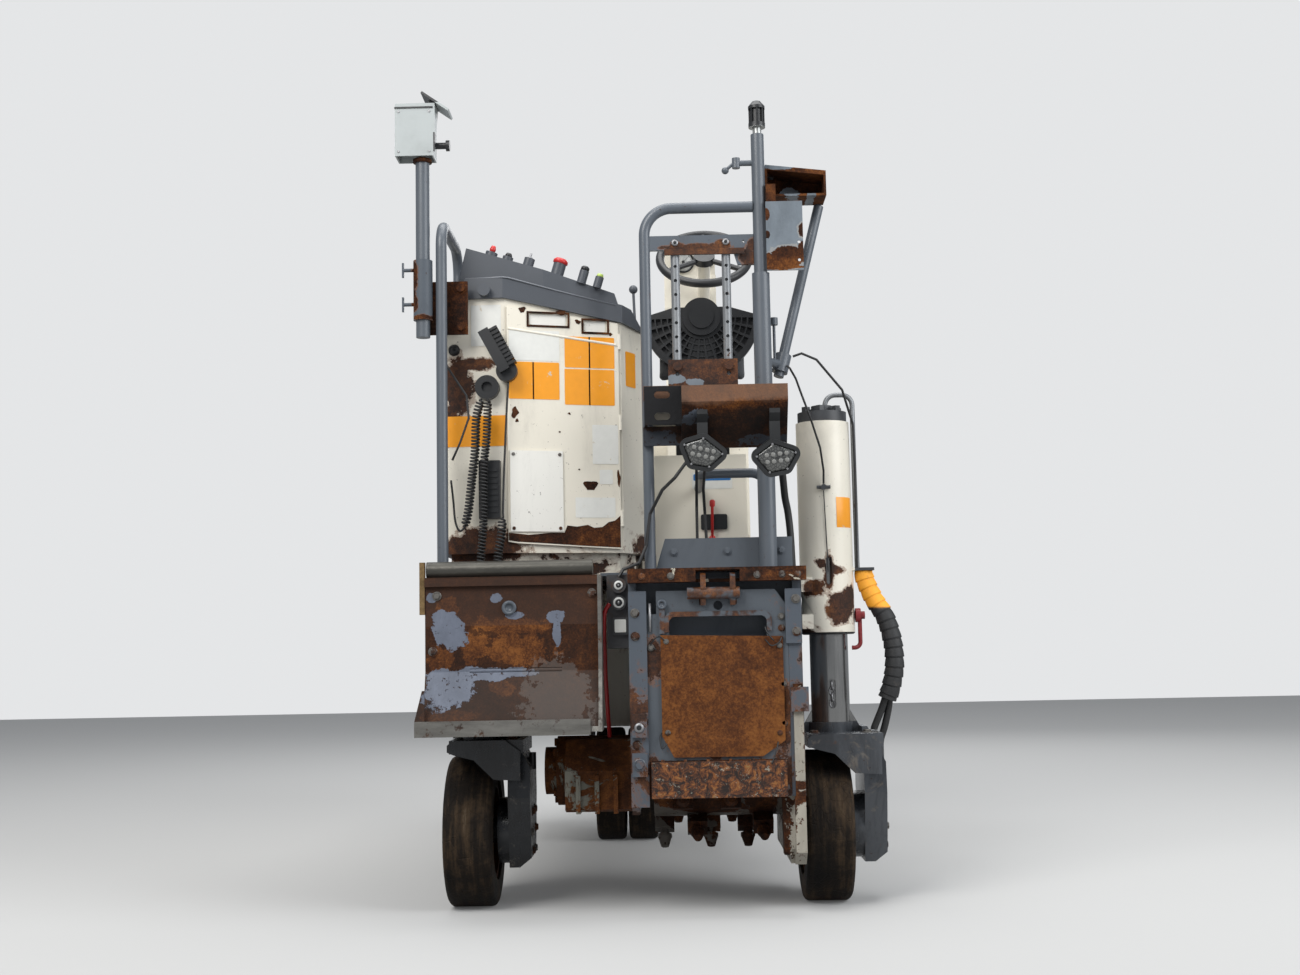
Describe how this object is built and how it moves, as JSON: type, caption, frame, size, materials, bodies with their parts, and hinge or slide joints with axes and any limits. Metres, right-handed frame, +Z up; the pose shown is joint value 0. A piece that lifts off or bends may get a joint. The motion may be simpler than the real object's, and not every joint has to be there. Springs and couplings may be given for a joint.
{
  "type": "cold planer milling machine",
  "caption": "Compact wheeled cold planer with a narrow milling drum at its right rear, two lifting rear legs, an operator's seat with guard frame and a hinged engine hood.",
  "frame": {"origin": "on the floor, under the middle of the machine's box without its free hoses and leads", "axes": "+X to the machine's right, +Y to its front, +Z up"},
  "size_m": [1.371, 2.52, 2.2243],
  "materials": {
    "main_frame": "cream paint over welded plate, chipped and rusting",
    "counterweight": "dark grey painted casting",
    "engine_block": "grey painted casting",
    "drum_housing": "worn blue grey paint over heavy plate",
    "drum_drive_housing": "rusted casting caked with dirt",
    "left_wheel_housing": "flaking grey paint over rust",
    "left_column": "cream paint, chipped at its foot",
    "right_column": "cream paint, chipped to brown at its foot",
    "rear_beam": "rusted edge with grey upstand",
    "platform_deck": "dark tread plate",
    "access_step": "dark painted steel",
    "cabinet": "cream paint with chips and rust",
    "cabinet_cover": "cream paint, rusted through at its lower edge",
    "control_console": "blue grey moulded top with switches",
    "fuel_tank": "cream paint",
    "left_handrail": "blue grey painted tube",
    "mast_clamp": "rusted plate and clamp",
    "guard_frame": "blue grey painted tube, scratched",
    "main_pole": "blue grey painted tube, scratched",
    "beacon": "black beacon socket",
    "backrest_bars": "perforated tube on a rusted plate",
    "lamp_beam": "rusted folded beam",
    "work_lamps": "black cast lamp bodies with fins",
    "tool_box": "rusted open box with grey plate",
    "diagonal_brace": "grey painted tube",
    "seat_pedestal": "cream paint",
    "seat_shell": "black moulded shell with a ribbed fan",
    "seat_cushion": "black seat cushion",
    "steering_console": "cream paint",
    "steering_wheel": "black rimmed wheel",
    "engine_hood": "cream paint",
    "front_fork": "dark painted steel fork",
    "front_tyres": "worn solid rubber, dusty",
    "front_hubs": "dark painted steel",
    "left_leg": "greasy dark steel",
    "left_tyre": "worn solid rubber, dusty",
    "left_rim": "rusted steel disc",
    "right_leg": "greasy dark steel",
    "right_tyre": "worn solid rubber, dusty",
    "right_rim": "rusted steel disc",
    "milling_drum": "rusted drum with worn tools",
    "scraper_frame": "worn blue grey paint",
    "scraper_cover": "evenly rusted sheet",
    "column_lever": "faded red paint",
    "column_pipe": "zinc plated pipe",
    "valve_block": "greasy black couplings on a bracket",
    "handset": "black handset with a ribbed back",
    "keypad_box": "black box with blank keys",
    "knee_rail": "blue grey painted tube",
    "leg_hose": "black sleeve, its first turns yellow, with two hoses",
    "column_cables": "black cables",
    "lamp_leads": "black leads",
    "handset_cord": "black coiled cord",
    "socket_cords": "black coiled cords",
    "mast_lead": "black lead",
    "small_hoses": "a red hose and a black hose",
    "side_skid": "worn rusty skid",
    "mast_tube": "blue grey painted tube",
    "mast_box": "pale grey box"
  },
  "bodies": {
    "root": {"main_frame": "main_frame", "counterweight": "counterweight", "engine_block": "engine_block", "drum_housing": "drum_housing", "drum_drive_housing": "drum_drive_housing", "left_wheel_housing": "left_wheel_housing", "left_column": "left_column", "right_column": "right_column", "rear_beam": "rear_beam", "platform_deck": "platform_deck", "access_step": "access_step", "cabinet": "cabinet", "cabinet_cover": "cabinet_cover", "control_console": "control_console", "fuel_tank": "fuel_tank", "left_handrail": "left_handrail", "mast_clamp": "mast_clamp", "guard_frame": "guard_frame", "main_pole": "main_pole", "beacon": "beacon", "backrest_bars": "backrest_bars", "lamp_beam": "lamp_beam", "work_lamps": "work_lamps", "tool_box": "tool_box", "diagonal_brace": "diagonal_brace", "seat_pedestal": "seat_pedestal", "seat_shell": "seat_shell", "seat_cushion": "seat_cushion", "steering_console": "steering_console", "steering_wheel": "steering_wheel", "column_lever": "column_lever", "column_pipe": "column_pipe", "valve_block": "valve_block", "handset": "handset", "keypad_box": "keypad_box", "knee_rail": "knee_rail", "leg_hose": "leg_hose", "column_cables": "column_cables", "lamp_leads": "lamp_leads", "handset_cord": "handset_cord", "socket_cords": "socket_cords", "mast_lead": "mast_lead", "small_hoses": "small_hoses"},
    "hood": {"engine_hood": "engine_hood"},
    "fork": {"front_fork": "front_fork"},
    "wheels_front": {"front_tyres": "front_tyres", "front_hubs": "front_hubs"},
    "leg_left": {"left_leg": "left_leg"},
    "wheel_left": {"left_tyre": "left_tyre", "left_rim": "left_rim"},
    "leg_right": {"right_leg": "right_leg"},
    "wheel_right": {"right_tyre": "right_tyre", "right_rim": "right_rim"},
    "drum": {"milling_drum": "milling_drum"},
    "scraper": {"scraper_frame": "scraper_frame", "scraper_cover": "scraper_cover"},
    "skid": {"side_skid": "side_skid"},
    "mast": {"mast_tube": "mast_tube", "mast_box": "mast_box"}
  },
  "joints": [
    {"name": "front_steer", "type": "hinge", "parent": "root", "child": "fork", "pos_m": [-0.099, 0.65, 0.45], "axis": [0, 0, 1], "range_deg": [-50, 50]},
    {"name": "front_wheel_spin", "type": "hinge", "parent": "fork", "child": "wheels_front", "pos_m": [-0.099, 0.65, 0.205], "axis": [1, 0, 0], "continuous": true},
    {"name": "left_leg_lift", "type": "slide", "parent": "root", "child": "leg_left", "axis": [0, 0, 1], "range_m": [0, 0.2]},
    {"name": "left_wheel_spin", "type": "hinge", "parent": "leg_left", "child": "wheel_left", "pos_m": [-0.482, -0.85, 0.205], "axis": [1, 0, 0], "continuous": true},
    {"name": "right_leg_lift", "type": "slide", "parent": "root", "child": "leg_right", "axis": [0, 0, 1], "range_m": [0, 0.2], "deforming": ["leg_hose"]},
    {"name": "right_wheel_spin", "type": "hinge", "parent": "leg_right", "child": "wheel_right", "pos_m": [0.488, -0.85, 0.205], "axis": [1, 0, 0], "continuous": true},
    {"name": "drum_spin", "type": "hinge", "parent": "root", "child": "drum", "pos_m": [0.193, -0.85, 0.385], "axis": [1, 0, 0], "continuous": true},
    {"name": "scraper_lift", "type": "slide", "parent": "root", "child": "scraper", "axis": [0, 0, 1], "range_m": [-0.15, 0]},
    {"name": "skid_lift", "type": "slide", "parent": "root", "child": "skid", "axis": [0, 0, 1], "range_m": [0, 0.1]},
    {"name": "hood_open", "type": "hinge", "parent": "root", "child": "hood", "pos_m": [-0.099, 1.122, 0.894], "axis": [-1, 0, 0], "range_deg": [0, 60]},
    {"name": "mast_slide", "type": "slide", "parent": "root", "child": "mast", "axis": [0, 0, 1], "range_m": [-0.14, 0.1]}
  ]
}
